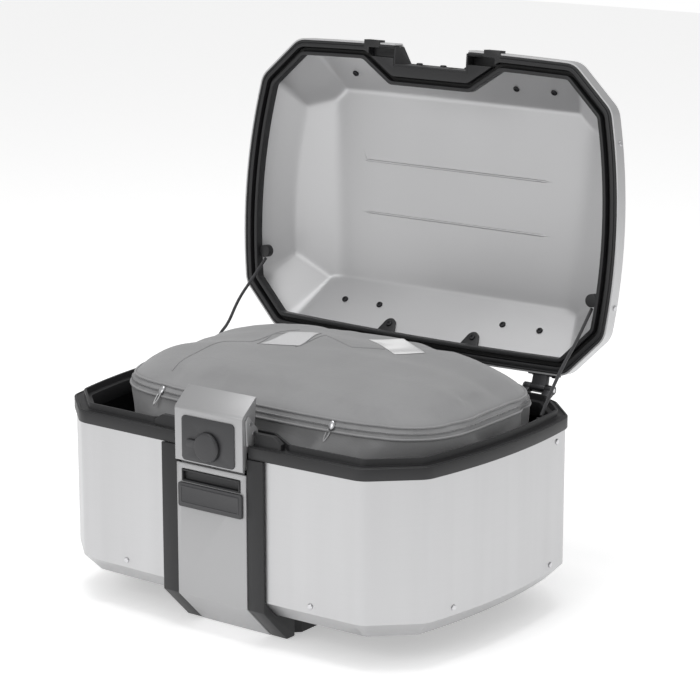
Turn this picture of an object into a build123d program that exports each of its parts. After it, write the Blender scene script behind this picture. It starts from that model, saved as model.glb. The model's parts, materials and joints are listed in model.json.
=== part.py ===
"""Aluminium motorcycle top case, lid open, with its latch, hinges, limit cords and inner bag.

+X is the right side seen from the latch, -Y the latch side, +Z up. The origin is the centre
of the flat underside of the mounting foot. The lid is drawn shut and then swung open.
"""
import os
from functools import cache
from math import pi, radians, tan

from build123d import *

os.makedirs("parts", exist_ok=True)

# ---- driving dimensions, mm ----
# Plan outline of the sheet metal, corner points before rounding. It widens towards the hinge.
FRONT_HALF, FRONT_Y = 206, -186
SIDE_FRONT = (260, -136)
SIDE_REAR = (271, 134.5)
REAR_HALF, REAR_Y = 220.5, 186
FRONT_BOW, SIDE_BOW = 3.5, 13
CORNER_RADIUS = 26

# Heights above the ground
PAN_Z = 35  # underside of the case body
BEND_Z = 55  # the wall turns 45 degrees inwards below this
FASCIA_Z, DECK_Z = 222.5, 236.5  # plastic rim: lower edge and flat top
WALL_TOP = 227.5  # walls end inside the rim
LIP_Z = 244.5  # sealing lip
PARTING_Z = 238  # lid frame's face when shut
LID_FRAME_TOP = 250
LID_BAND_Z = 256  # the lid's upright band ends here
LID_RIDGE_Z = 298  # and its steep side walls end here

SKIN = 1.5  # sheet aluminium
LINER = 2.5  # plastic tub wall
GAP = 0.3  # between pieces that only lie together
LID_SHEET = 2.0

# Lid: where its walls would meet the height LID_WALL_Z, and its gently sloping top
LID_GROW = 2.8
LID_WALL_Z = 320
LID_WALLS = [(172.5, -115), (215.8, -75), (222.2, 79), (187.7, 120.5)]
LID_RIDGE = (231, -96), (239, 98)
LID_TOP_FRONT, LID_TOP_REAR = (-122, 312), (120, 318)  # (y, z)
LID_TOP_HALF = 184

# Hinge
HINGE_Y, HINGE_Z = 208.25, 241.65
LID_OPEN = 95
HINGE_X, HINGE_WIDTH = 186, 42
PIN_R, KNUCKLE_R, PIN_PLAY = 2.5, 5.5, 0.05
HINGE_AXIS = Axis((0, HINGE_Y, HINGE_Z), (1, 0, 0))

# Seal line: the opening's edge and the bay that it makes round the latch
OPENING_INSET = 18.5
BAY_INNER_HALF, BAY_Y = 60, -141
BAY_SLANT_END = (170.4, -215)
BAY_RADIUS = 12

# Front column and latch
COLUMN_HALF, PANEL_HALF = 75, 51
COLUMN_FACE, PANEL_FACE, PANEL_SHEET = -193.5, -194.7, 2.5
COLUMN_BEND_Z = 43
PANEL_TOP_Z = 203
LATCH_HALF, LATCH_FACE, LATCH_WALL = 49.6, -198, 2.5
LATCH_BOTTOM_Z, LATCH_SHOULDER_Z = 207, 270
LATCH_TIP = (-173, 290.5)
PIVOT_Y, PIVOT_Z = -192.6, 211
LATCH_PIN_R = 1.5
CHEEK_IN, CHEEK_OUT = 50.1, 52.1
NOTCH_HALF, NOTCH_Y, CATCH_WALL = 53, -167, 2.2
HOOK_X, HOOK_HALF, HOOK_BOTTOM, HOOK_TOP = 22, 4, 250.4, 256
LOCK_Z, LOCK_R, CYLINDER_R = 229, 17.5, 8

# Mounting foot
FOOT_HALF, FOOT_FRONT, FOOT_REAR = 74, -136, 140
BOLT_SPACING_X, BOLT_SPACING_Y = 110, 180
INSERT_R, BOLT_R = 5, 3.3

# Small fasteners
RIVET_R, RIVET_DOME, RIVET_Z = 3.4, 1.3, 64
SCREW_R, SCREW_DOME = 4.2, 2.0

# Limit cords
CORD_D = 4

parts = []


def finish(piece, name):
    """Label a piece and write it."""
    piece.part.label = name
    export_step(piece.part, f"parts/{name}.step")
    parts.append(piece.part)


def finish_on_lid(piece, name):
    """Turn a lid piece, drawn shut, to where the open lid stands, and write it."""
    piece.part = piece.part.rotate(HINGE_AXIS, -LID_OPEN)
    finish(piece, name)


@cache
def case_outline(grow=0):
    """Plan outline of the case, grown outwards by an amount."""
    side_mid = ((SIDE_FRONT[0] + SIDE_REAR[0]) / 2 + SIDE_BOW, (SIDE_FRONT[1] + SIDE_REAR[1]) / 2)
    with BuildSketch(mode=Mode.PRIVATE) as outline:
        with BuildLine():
            ThreePointArc((0, FRONT_Y - FRONT_BOW), (FRONT_HALF / 2, FRONT_Y - FRONT_BOW * 0.75), (FRONT_HALF, FRONT_Y))
            Line((FRONT_HALF, FRONT_Y), SIDE_FRONT)
            ThreePointArc(SIDE_FRONT, side_mid, SIDE_REAR)
            Line(SIDE_REAR, (REAR_HALF, REAR_Y))
            ThreePointArc((REAR_HALF, REAR_Y), (REAR_HALF / 2, REAR_Y + FRONT_BOW * 0.75), (0, REAR_Y + FRONT_BOW))
            mirror(about=Plane.YZ)
        make_face()
        corners = outline.vertices().filter_by(lambda v: abs(v.X) > 1)
        fillet(corners, CORNER_RADIUS)
        if grow:
            offset(amount=grow, kind=Kind.INTERSECTION)
    return outline.sketch


@cache
def opening_outline(grow=0):
    """The mouth of the case at the seal, with the bay round the latch, grown by an amount."""
    with BuildSketch(mode=Mode.PRIVATE) as bay:
        with BuildLine():
            Polyline((0, BAY_Y), (BAY_INNER_HALF, BAY_Y), BAY_SLANT_END, (0, BAY_SLANT_END[1]))
            mirror(about=Plane.YZ)
        make_face()
        if grow:
            offset(amount=-grow, kind=Kind.INTERSECTION)
    with BuildSketch(mode=Mode.PRIVATE) as mouth:
        add(case_outline(grow - OPENING_INSET))
        add(bay.sketch, mode=Mode.SUBTRACT)
        corners = mouth.vertices().filter_by(lambda v: 1 < abs(v.X) < BAY_SLANT_END[0] - 30 and v.Y < 0)
        fillet(corners, BAY_RADIUS)
    return mouth.sketch


def tub(inset, bottom, top):
    """Solid inside the outline: upright walls over a band that leans 45 degrees inwards."""
    bend = BEND_Z + inset * tan(radians(22.5))
    with BuildPart() as solid:
        with BuildSketch(Plane.XY.offset(bend)):
            add(case_outline(-inset))
        extrude(amount=top - bend)
        with BuildSketch(Plane.XY.offset(bottom)):
            add(case_outline(-inset - (bend - bottom)))
        with BuildSketch(Plane.XY.offset(bend)):
            add(case_outline(-inset))
        loft(ruled=True)
    return solid.part


def ring(outer, inner, bottom, top, mode=Mode.ADD):
    """Upright ring between two plan outlines."""
    with BuildSketch(Plane.XY.offset(bottom)) as plan:
        add(outer)
        add(inner, mode=Mode.SUBTRACT)
    extrude(plan.sketch, amount=top - bottom, mode=mode)


def block(x, y, z, mode=Mode.ADD):
    """Box between two values along each axis."""
    x, y, z = sorted(x), sorted(y), sorted(z)
    with Locations((sum(x) / 2, sum(y) / 2, sum(z) / 2)):
        Box(x[1] - x[0], y[1] - y[0], z[1] - z[0], mode=mode)


def across(points, x, mode=Mode.ADD):
    """A profile of (y, z) points, extruded between two values of x."""
    x = sorted(x)
    with BuildSketch(Plane.YZ.offset(x[0])) as profile:
        with BuildLine():
            Polyline(*points, close=True)
        make_face()
    extrude(profile.sketch, amount=x[1] - x[0], mode=mode)


def rod(start, end, radius, mode=Mode.ADD):
    """Round rod between two points."""
    line = Vector(*end) - Vector(*start)
    with Locations(Plane(origin=start, z_dir=line)):
        Cylinder(radius, line.length, align=(Align.CENTER, Align.CENTER, Align.MIN), mode=mode)


def domed_head(radius, height):
    """Round head standing on the XY plane, for rivets and screws."""
    with BuildPart() as head:
        Cylinder(radius, height, align=(Align.CENTER, Align.CENTER, Align.MIN))
        fillet(head.edges().sort_by(Axis.Z)[-1:], height * 0.8)
    return head.part


def socket_head(radius, height):
    """Round head with a hexagon socket."""
    with BuildPart() as head:
        add(domed_head_of_screw)
        with BuildSketch(Plane.XY.offset(height - 1)):
            RegularPolygon(radius * 0.45, 6)
        extrude(amount=2, mode=Mode.SUBTRACT)
    return head.part


def side_x(y):
    """Half width of the bowed side at a given y."""
    t = (y - SIDE_FRONT[1]) / (SIDE_REAR[1] - SIDE_FRONT[1])
    return SIDE_FRONT[0] + (SIDE_REAR[0] - SIDE_FRONT[0]) * t + 4 * SIDE_BOW * t * (1 - t)


def on_side(side, y, z, out):
    """Plane on the bowed side at a given y and z, facing outwards."""
    slope = side_x(y + 0.5) - side_x(y - 0.5)
    return Plane(origin=(side * (side_x(y) + out), y, z), z_dir=(side, -slope, 0))


rivet_head = domed_head(RIVET_R, RIVET_DOME)
domed_head_of_screw = domed_head(SCREW_R, SCREW_DOME)
screw_head = socket_head(SCREW_R, SCREW_DOME)
front_wall_y = FRONT_Y - FRONT_BOW
back_wall_y = REAR_Y + FRONT_BOW

# ================================ case body ================================

# ---- plastic tub inside the sheet metal ----
liner_inset = SKIN + GAP
liner_outside = tub(liner_inset, PAN_Z, WALL_TOP)
liner_inside = tub(liner_inset + LINER, PAN_Z + 4, WALL_TOP + 1)
with BuildPart() as liner_tub:
    add(liner_outside)
    add(liner_inside, mode=Mode.SUBTRACT)
finish(liner_tub, "liner_tub")

# ---- sheet aluminium, one wrap on each side ----
skin_outside = tub(0, PAN_Z, WALL_TOP)
skin_inside = tub(SKIN, PAN_Z - 1, WALL_TOP + 1)
for side, name in ((-1, "skin_left"), (1, "skin_right")):
    with BuildPart() as skin:
        add(skin_outside)
        add(skin_inside, mode=Mode.SUBTRACT)
        block((-side * 400, side * 68), (-250, 0), (0, 300), Mode.SUBTRACT)
        block((-side * 400, side * 12), (-1, 250), (0, 300), Mode.SUBTRACT)
    finish(skin, name)

# ---- cover over the seam at the back ----
with BuildPart() as rear_seam_cover:
    face, back = back_wall_y + 3.3, back_wall_y + GAP
    low = BEND_Z - 20
    across([(back, FASCIA_Z - GAP), (face, FASCIA_Z - GAP), (face, BEND_Z + 1), (face - 21, low), (back - 20, low),
            (back, BEND_Z)], (-20, 20))
finish(rear_seam_cover, "rear_seam_cover")

# ---- plastic rim: fascia, deck, sealing lip, and the humps beside the latch ----
with BuildPart() as rim_frame:
    ring(case_outline(2.5), opening_outline(0), WALL_TOP + GAP, DECK_Z)
    ring(case_outline(2.5), case_outline(GAP), FASCIA_Z, WALL_TOP + GAP)
    ring(opening_outline(4.5), opening_outline(0), FASCIA_Z - 4, WALL_TOP + GAP)
    ring(opening_outline(9), opening_outline(6), DECK_Z, LIP_Z)
    ring(case_outline(0.5), case_outline(-1), DECK_Z, DECK_Z + 1)
    for side in (-1, 1):
        with BuildSketch(Plane.XZ.offset(176)):
            with BuildLine():
                Polyline(*[(side * x, z) for x, z in ((56, 236), (93, 236), (93, 243.5), (82, 251), (56, 251))], close=True)
            make_face()
        extrude(amount=7.5)
    # the latch and its bracket stand in this gap
    block((-CHEEK_OUT - 0.4, CHEEK_OUT + 0.4), (-196, -180), (FASCIA_Z - 5, DECK_Z + 3), Mode.SUBTRACT)
finish(rim_frame, "rim_frame")

# ---- rivets of the sheet metal ----
rivet_places = []
for side in (-1, 1):
    for y, z in ((-95, RIVET_Z), (96, RIVET_Z), (108, 212)):
        rivet_places.append(on_side(side, y, z, 0.2))
    rivet_places.append(Plane(origin=(side * 137, FRONT_Y - FRONT_BOW * 0.6, RIVET_Z), z_dir=(0, -1, 0)))
    rivet_places.append(Plane(origin=(side * 137, REAR_Y + FRONT_BOW * 0.7, RIVET_Z), z_dir=(0, 1, 0)))
with BuildPart() as skin_rivets:
    with Locations(*rivet_places):
        add(rivet_head)
finish(skin_rivets, "skin_rivets")

# ---- mounting foot under the case, with the pocket for a carrier's tongue ----
with BuildPart() as mount_foot:
    with BuildSketch() as foot_plan:
        with Locations((0, (FOOT_FRONT + FOOT_REAR) / 2)):
            Rectangle(2 * FOOT_HALF, FOOT_REAR - FOOT_FRONT)
        chamfer(foot_plan.vertices(), 14)
    extrude(amount=PAN_Z - GAP)
    block((-36, 36), (20, 92), (-1, 14), Mode.SUBTRACT)
    # hollows between its ribs, open to the case body above
    for side in (-1, 1):
        for y in ((-126, -62), (-56, 12)):
            block((side * 4, side * 42), y, (5, 50), Mode.SUBTRACT)
    block((-33, 33), (24, 88), (18, 50), Mode.SUBTRACT)
    # channel of the sprung bolt, open to the pocket
    block((-9.1, 9.1), (91, 126), (3.9, 12.1), Mode.SUBTRACT)
    with GridLocations(BOLT_SPACING_X, BOLT_SPACING_Y, 2, 2):
        Cylinder(INSERT_R, 40, mode=Mode.SUBTRACT)
finish(mount_foot, "mount_foot")

with BuildPart() as carrier_inserts:
    with Locations((0, 0, 1)):
        with GridLocations(BOLT_SPACING_X, BOLT_SPACING_Y, 2, 2):
            Cylinder(INSERT_R, 18, align=(Align.CENTER, Align.CENTER, Align.MIN))
    with GridLocations(BOLT_SPACING_X, BOLT_SPACING_Y, 2, 2):
        Cylinder(BOLT_R, 60, mode=Mode.SUBTRACT)
finish(carrier_inserts, "carrier_inserts")

# ---- sprung bolt that holds the case on its carrier ----
with BuildPart() as carrier_bolt:
    across([(92, 4.1), (110, 4.1), (110, 11.9), (86, 11.9), (86, 10)], (-8.9, 8.9))
finish(carrier_bolt, "carrier_bolt")

coil = Helix(pitch=2.6, height=13, radius=2.9, center=(0, 111.5, 8), direction=(0, 1, 0))
with BuildPart() as bolt_spring:
    with BuildSketch(Plane(origin=coil @ 0, z_dir=coil % 0)):
        Circle(0.5)
    sweep(path=coil)
finish(bolt_spring, "bolt_spring")

# ---- front column: pressed panel between two plastic strips, bent in under the case ----
for side, name in ((-1, "column_strip_left"), (1, "column_strip_right")):
    with BuildPart() as strip:
        face, back = COLUMN_FACE, front_wall_y - GAP
        across([(face, FASCIA_Z - GAP), (face, COLUMN_BEND_Z), (face + COLUMN_BEND_Z, 0), (FOOT_FRONT - GAP, 0),
                (FOOT_FRONT - GAP, PAN_Z - GAP), (back + 20, PAN_Z - GAP), (back, BEND_Z - 0.5), (back, FASCIA_Z - GAP)],
               (side * (PANEL_HALF + GAP), side * COLUMN_HALF))
    finish(strip, name)

with BuildPart() as column_panel:
    face, sheet = PANEL_FACE, PANEL_SHEET
    across([(face, PANEL_TOP_Z), (face, COLUMN_BEND_Z), (face + COLUMN_BEND_Z, 0), (face + COLUMN_BEND_Z + 3.6, 0),
            (face + sheet, COLUMN_BEND_Z + 1.1), (face + sheet, PANEL_TOP_Z)], (-PANEL_HALF, PANEL_HALF))
    for side in (-1, 1):
        across([(face + 1, PANEL_TOP_Z), (face + 1, COLUMN_BEND_Z), (face + COLUMN_BEND_Z + 1, 0),
                (face + COLUMN_BEND_Z + 12, 0), (front_wall_y + 18, PAN_Z - 1), (front_wall_y - GAP, BEND_Z - 1),
                (front_wall_y - GAP, PANEL_TOP_Z)], (side * (PANEL_HALF - 2), side * PANEL_HALF))
    # window of the recess
    block((-43, 43), (-200, -190), (181, 196), Mode.SUBTRACT)
finish(column_panel, "column_panel")

with BuildPart() as recess_trim:
    block((-42.7, 42.7), (-195.7, front_wall_y - GAP), (181.3, 195.7))
    block((-40.7, 40.7), (-197, -190.6), (183.3, 193.7), Mode.SUBTRACT)
finish(recess_trim, "recess_trim")

# ---- plain badge plate ----
badge_back = -PANEL_FACE + 0.05
with BuildPart() as badge_plate:
    with BuildSketch(Plane.XZ.offset(badge_back)):
        with Locations((0, 165.5)):
            RectangleRounded(94, 29, 3)
    extrude(amount=3)
    fillet(badge_plate.faces().sort_by(Axis.Y)[0].edges(), 0.8)
    with BuildSketch(Plane.XZ.offset(badge_back + 3)):
        with Locations((0, 166)):
            RectangleRounded(86, 21, 2)
            RectangleRounded(83, 18, 1.5, mode=Mode.SUBTRACT)
    extrude(amount=0.5)
finish(badge_plate, "badge_plate")

# ---- latch bracket on the case: ears for the pin, and cheeks outside the latch cover ----
plate_back = front_wall_y - GAP
with BuildPart() as latch_bracket:
    block((-46.5, 46.5), (plate_back - 1.4, plate_back), (197, 230.5))
    block((-46.5, 46.5), (plate_back, -180.3), (228.3, 230.5))
    block((-CHEEK_OUT, CHEEK_OUT), (-186, -180.3), (228.3, 230.5))
    block((-CHEEK_OUT, CHEEK_OUT), (-182.8, -180.3), (228.3, 241))
    for side in (-1, 1):
        across([(plate_back, PIVOT_Z - 7), (PIVOT_Y + 0.6, PIVOT_Z - 2.4), (PIVOT_Y - 1.6, PIVOT_Z - 1.6),
                (PIVOT_Y - 2.3, PIVOT_Z), (PIVOT_Y - 1.6, PIVOT_Z + 1.6), (PIVOT_Y + 0.6, PIVOT_Z + 2.4),
                (plate_back, PIVOT_Z + 7)], (side * 43.5, side * 46.5))
        across([(-192, 237.2), (-193.5, 266), (-189, 271), (-173.5, 254), (-171.5, 246), (-171.5, 237.2),
                (-180.3, 237.2), (-180.3, 228.3), (-186, 228.3), (-187.5, 237.2)], (side * CHEEK_IN, side * CHEEK_OUT))
    rod((-60, PIVOT_Y, PIVOT_Z), (60, PIVOT_Y, PIVOT_Z), LATCH_PIN_R + PIN_PLAY, Mode.SUBTRACT)
finish(latch_bracket, "latch_bracket")

with BuildPart() as cheek_studs:
    for side in (-1, 1):
        for y, z in ((-185.5, 262), (-179.5, 250)):
            rod((side * (CHEEK_OUT + 0.02), y, z), (side * (CHEEK_OUT + 0.5), y, z), 2.6)
finish(cheek_studs, "cheek_studs")

with BuildPart() as latch_pin:
    rod((-49.4, PIVOT_Y, PIVOT_Z), (49.4, PIVOT_Y, PIVOT_Z), LATCH_PIN_R)
finish(latch_pin, "latch_pin")

# ================================ latch ================================

# ---- pressed latch cover with side flanges and two hooks ----
with BuildPart() as latch_cover:
    face, wall = LATCH_FACE, LATCH_WALL
    across([(face, LATCH_BOTTOM_Z), (face, LATCH_SHOULDER_Z), LATCH_TIP, (LATCH_TIP[0] + 1.5, LATCH_TIP[1] - wall),
            (face + wall, LATCH_SHOULDER_Z - 1.2), (face + wall, LATCH_BOTTOM_Z)], (-LATCH_HALF, LATCH_HALF))
    for side in (-1, 1):
        across([(face + 1, LATCH_BOTTOM_Z + 1), (PIVOT_Y, PIVOT_Z - 2.4), (PIVOT_Y + 2, PIVOT_Z - 1.4),
                (PIVOT_Y + 2.4, PIVOT_Z), (PIVOT_Y + 2.4, 226), (-187.8, 236), (-179, 248), (-175, 262),
                (LATCH_TIP[0] + 0.5, LATCH_TIP[1] - 1.6), (face + 1, LATCH_SHOULDER_Z - 0.5)],
               (side * (LATCH_HALF - 2.4), side * LATCH_HALF))
        hook = (side * HOOK_X - HOOK_HALF, side * HOOK_X + HOOK_HALF)
        block(hook, (face + 1, -160.5), (HOOK_BOTTOM, HOOK_TOP))
    shoulder = latch_cover.edges().filter_by(Axis.X).filter_by_position(Axis.Z, LATCH_SHOULDER_Z - 0.1, LATCH_SHOULDER_Z + 0.1)
    fillet(shoulder.sort_by(Axis.Y)[:1], 6)
    rod((-60, PIVOT_Y, PIVOT_Z), (60, PIVOT_Y, PIVOT_Z), LATCH_PIN_R + PIN_PLAY, Mode.SUBTRACT)
    rod((0, -205, LOCK_Z), (0, -185, LOCK_Z), CYLINDER_R + 0.1, Mode.SUBTRACT)
finish(latch_cover, "latch_cover")

# ---- lock: plate, round dust cover, cylinder and cam ----
plate_y = -LATCH_FACE + 0.05
with BuildPart() as lock_plate:
    with BuildSketch(Plane.XZ.offset(plate_y)):
        with Locations((0, 235)):
            RectangleRounded(77, 53, 5)
        with Locations((0, LOCK_Z)):
            Circle(CYLINDER_R + 0.1, mode=Mode.SUBTRACT)
    extrude(amount=1.6)
finish(lock_plate, "lock_plate")

cover_back = plate_y + 1.95
with BuildPart() as dust_cover:
    with BuildSketch(Plane.XZ.offset(cover_back)):
        with Locations((0, LOCK_Z)):
            Circle(LOCK_R)
    extrude(amount=5)
    chamfer(dust_cover.faces().sort_by(Axis.Y)[0].edges(), 2)
    block((-29, -14), (-cover_back - 3, -cover_back), (LOCK_Z - 3, LOCK_Z + 6))
finish(dust_cover, "dust_cover")

with BuildPart() as lock_cylinder:
    rod((0, -cover_back + 0.05, LOCK_Z), (0, -195.2, LOCK_Z), CYLINDER_R)
    rod((0, -195.2, LOCK_Z), (0, -192.4, LOCK_Z), 3.8)
finish(lock_cylinder, "lock_cylinder")

with BuildPart() as lock_cam:
    with BuildSketch(Plane.XZ.offset(192.7)):
        with Locations((0, LOCK_Z)):
            Circle(6.5)
        with Locations((0, LOCK_Z + 8)):
            Rectangle(8, 12)
        with Locations((0, LOCK_Z)):
            Circle(3.85, mode=Mode.SUBTRACT)
    extrude(amount=2.2)
finish(lock_cam, "lock_cam")

# ================================ lid, drawn shut ================================


def lid_solid(sheet):
    """The lid's outer form, drawn in by a sheet thickness."""
    with BuildSketch(mode=Mode.PRIVATE) as walls:
        with BuildLine():
            Polyline((0, LID_WALLS[0][1]), *LID_WALLS, (0, LID_WALLS[3][1]))
            mirror(about=Plane.YZ)
        make_face()
        fillet(walls.vertices().filter_by(lambda v: abs(v.X) > 1), 16)
        if sheet:
            offset(amount=-1.45 * sheet, kind=Kind.INTERSECTION)
    band_top = LID_BAND_Z - 0.4 * sheet
    with BuildPart() as solid:
        with BuildSketch(Plane.XY.offset(PARTING_Z + 1)):
            add(case_outline(LID_GROW - sheet))
        extrude(amount=band_top - PARTING_Z - 1)
        with BuildSketch(Plane.XY.offset(band_top)):
            add(case_outline(LID_GROW - sheet))
        with BuildSketch(Plane.XY.offset(LID_WALL_Z)):
            add(walls.sketch)
        loft(ruled=True)
        top_front = Vector(0, LID_TOP_FRONT[0], LID_TOP_FRONT[1] - sheet)
        top_rear = Vector(0, LID_TOP_REAR[0], LID_TOP_REAR[1] - sheet)
        cuts = [(top_front, top_rear, top_front + Vector(1, 0, 0))]
        for side in (-1, 1):
            a, b = [Vector(side * (x - sheet), y, LID_RIDGE_Z - sheet / 2) for x, y in LID_RIDGE]
            cuts.append((a, b, Vector(side * LID_TOP_HALF, 0, (top_front.Z + top_rear.Z) / 2)))
        for p, q, r in cuts:
            normal = (q - p).cross(r - p)
            plane = Plane(origin=p, z_dir=normal if normal.Z > 0 else -normal)
            split(bisect_by=plane, keep=Keep.BOTTOM)
    return solid.part


lid_outside, lid_inside = lid_solid(0), lid_solid(LID_SHEET)


def inside_lid(x, y):
    """Plane on the lid's inner wall at a place in plan, facing into the lid."""
    hits = lid_inside.find_intersection_points(Axis((x, y, PARTING_Z + 5), (0, 0, 1)))
    point, normal = max(hits, key=lambda hit: hit[0].Z)
    return Plane(origin=point - normal * 0.05, x_dir=(1, 0, 0), z_dir=-normal)


# ---- aluminium lid with a notch for the latch and two pressed lines in its top ----
notch_back = NOTCH_Y + CATCH_WALL + 0.2
notch_side = NOTCH_HALF + CATCH_WALL + 0.2
with BuildPart() as lid_shell:
    add(lid_outside)
    add(lid_inside, mode=Mode.SUBTRACT)
    block((-notch_side, notch_side), (-250, notch_back), (200, 330), Mode.SUBTRACT)
    for side in (-1, 1):
        block((side * 77.6, side * 102.4), (-220, -170), (230, LID_FRAME_TOP + GAP), Mode.SUBTRACT)
finish_on_lid(lid_shell, "lid_shell")

# ---- plastic frame round the lid's mouth ----
with BuildPart() as lid_frame:
    ring(case_outline(0.5), opening_outline(0), PARTING_Z, LID_FRAME_TOP)
    ring(opening_outline(10.7), opening_outline(4.3), PARTING_Z - 1, 247.6, Mode.SUBTRACT)
    ring(case_outline(-2), case_outline(-3.2), PARTING_Z - 1, PARTING_Z + 1.2, Mode.SUBTRACT)
    for side in (-1, 1):
        block((side * 78, side * 102), (-194.5, -184), (PARTING_Z, LID_FRAME_TOP))
        # raised pocket over the hump beside the latch
        block((side * 55, side * 97), (-187.3, -172.5), (LID_FRAME_TOP, LID_FRAME_TOP + 4))
        block((side * NOTCH_HALF, side * 94.5), (-185.3, -174.5), (PARTING_Z - 1, LID_FRAME_TOP + 2), Mode.SUBTRACT)
    block((-notch_side, notch_side), (-250, notch_back), (200, 330), Mode.SUBTRACT)
finish_on_lid(lid_frame, "lid_frame")

with BuildPart() as lid_gasket:
    ring(opening_outline(9.5), opening_outline(5.5), 244.9, 247.55)
finish_on_lid(lid_gasket, "lid_gasket")

# ---- catch in the notch: walls and a floor with slots for the latch hooks ----
with BuildPart() as lid_catch:
    floor = NOTCH_Y + CATCH_WALL
    across([(NOTCH_Y, 238.2), (NOTCH_Y, 274), (floor, 276.5), (floor, 238.2)], (-NOTCH_HALF, NOTCH_HALF))
    for side in (-1, 1):
        across([(-188, 238.2), (-188, 257), (floor, 276.5), (floor, 238.2)],
               (side * NOTCH_HALF, side * (NOTCH_HALF + CATCH_WALL)))
        block((side * HOOK_X - 5.5, side * HOOK_X + 5.5), (-170, -160), (HOOK_BOTTOM - 0.7, 262), Mode.SUBTRACT)
finish_on_lid(lid_catch, "lid_catch")

with BuildPart() as lid_catch_screws:
    with Locations(*[Plane(origin=(x, NOTCH_Y - 0.05, 268), z_dir=(0, -1, 0)) for x in (-36, 0, 36)]):
        add(screw_head)
finish_on_lid(lid_catch_screws, "lid_catch_screws")

# ---- screws and tabs on the lid's inner walls ----
with BuildPart() as lid_inner_screws:
    with Locations(*[inside_lid(x, y) for x in (-150, -95, 95, 150) for y in (-147, 147.6)]):
        add(screw_head)
finish_on_lid(lid_inner_screws, "lid_inner_screws")

for x, name in ((-64, "lid_tab_left"), (64, "lid_tab_right")):
    with BuildPart() as tab:
        with BuildSketch(inside_lid(x, 168)):
            Circle(8.5)
            with BuildLine():
                Polyline((-8.3, 2), (8.3, 2), (15, -17), (-15, -17), close=True)
            make_face()
        extrude(amount=3)
    finish_on_lid(tab, name)

with BuildPart() as lid_tab_screws:
    for x in (-64, 64):
        with Locations(inside_lid(x, 168).offset(3.05)):
            add(screw_head)
finish_on_lid(lid_tab_screws, "lid_tab_screws")

with BuildPart() as lid_rivets:
    for side in (-1, 1):
        for y in (-98, 98):
            with Locations(on_side(side, y, 250, LID_GROW + 0.2)):
                add(rivet_head)
finish_on_lid(lid_rivets, "lid_rivets")

# ================================ hinges ================================
bore = PIN_R + PIN_PLAY
for side, word in ((-1, "left"), (1, "right")):
    a, b, c, d = [side * (HINGE_X + x) for x in (-21, -10.4, 10.4, 21)]
    middle = (side * (HINGE_X - 10), side * (HINGE_X + 10))
    with BuildPart() as leaf:
        across([(188, 200), (193.3, 200), (193.3, 232), (190.8, 232), (190.8, 222), (188, 222)], (a, d))
        for knuckle in ((a, b), (c, d)):
            across([(190.8, 229), (193.3, 229), (208, 236.4), (206, 244), (190.8, 236.2)], knuckle)
            rod((knuckle[0], HINGE_Y, HINGE_Z), (knuckle[1], HINGE_Y, HINGE_Z), KNUCKLE_R)
        rod((side * 100, HINGE_Y, HINGE_Z), (side * 260, HINGE_Y, HINGE_Z), bore, Mode.SUBTRACT)
    finish(leaf, f"hinge_leaf_base_{word}")

    with BuildPart() as pin:
        rod((side * (HINGE_X - 21.5), HINGE_Y, HINGE_Z), (side * (HINGE_X + 21.5), HINGE_Y, HINGE_Z), PIN_R)
    finish(pin, f"hinge_pin_{word}")

    with BuildPart() as leaf:
        across([(190.9, 247.6), (193.6, 247.6), (193.6, 256), (190.9, 256)], (a, d))
        across([(190.9, 242), (206, 238), (208, 246.5), (193.6, 247.8), (190.9, 247.8)], middle)
        rod((middle[0], HINGE_Y, HINGE_Z), (middle[1], HINGE_Y, HINGE_Z), KNUCKLE_R)
        rod((side * 100, HINGE_Y, HINGE_Z), (side * 260, HINGE_Y, HINGE_Z), bore, Mode.SUBTRACT)
    finish_on_lid(leaf, f"hinge_leaf_lid_{word}")

with BuildPart() as hinge_screws_base:
    for x in (-196, -176, 176, 196):
        with Locations(Plane(origin=(x, 193.35, 210), z_dir=(0, 1, 0))):
            add(screw_head)
finish(hinge_screws_base, "hinge_screws_base")

with BuildPart() as hinge_screws_lid:
    for x in (-200, -172, 172, 200):
        with Locations(Plane(origin=(x, 193.65, 251.8), z_dir=(0, 1, 0))):
            add(domed_head(3.2, 1.4))
finish_on_lid(hinge_screws_lid, "hinge_screws_lid")

# ================================ limit cords ================================
for side, word in ((-1, "left"), (1, "right")):
    with BuildPart() as boss:
        with Locations(Plane(origin=(side * 249.3, 92.3, 243))):
            Cylinder(8, 9, align=(Align.CENTER, Align.CENTER, Align.MIN))
        block((side * 249.3, side * 257), (88.3, 96.3), (244, 250))
    finish_on_lid(boss, f"cord_boss_lid_{word}")
    with BuildPart() as boss:
        rod((side * 247, 108, 231), (side * 255, 108, 231), 6)
    finish(boss, f"cord_boss_base_{word}")

# Routes from the boss on the lid to the boss on the case; the right one is drawn tight
cord_routes = {
    "left": [(-249, 222.5, 346.9), (-250, 192, 322), (-251.5, 167, 301), (-252.5, 147, 272), (-252.5, 128, 262),
             (-251.5, 110.5, 239)],
    "right": [(249, 222.5, 346.9), (249.5, 190, 314), (250, 158, 290), (250.5, 128, 260), (251, 110.5, 239)],
}
for word, route in cord_routes.items():
    points = [Vector(*point) for point in route]
    turns = [(b - a).get_angle(c - b) for a, b, c in zip(points, points[1:], points[2:])]
    radii = [round(0.45 * min((b - a).length, (c - b).length) / tan(radians(turn / 2)), 1)
             for a, b, c, turn in zip(points, points[1:], points[2:], turns)]
    with BuildPart() as cord:
        with BuildLine() as line:
            FilletPolyline(*points, radius=radii)
        with BuildSketch(Plane(origin=line.line @ 0, z_dir=line.line % 0)):
            Circle(CORD_D / 2)
        sweep()
    length, section = line.wires()[0].length, pi * CORD_D**2 / 4
    print(word, "cord: bends", radii, "length", round(length, 1), "volume over section", round(cord.part.volume / section, 1))
    finish(cord, f"limit_cord_{word}")

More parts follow.
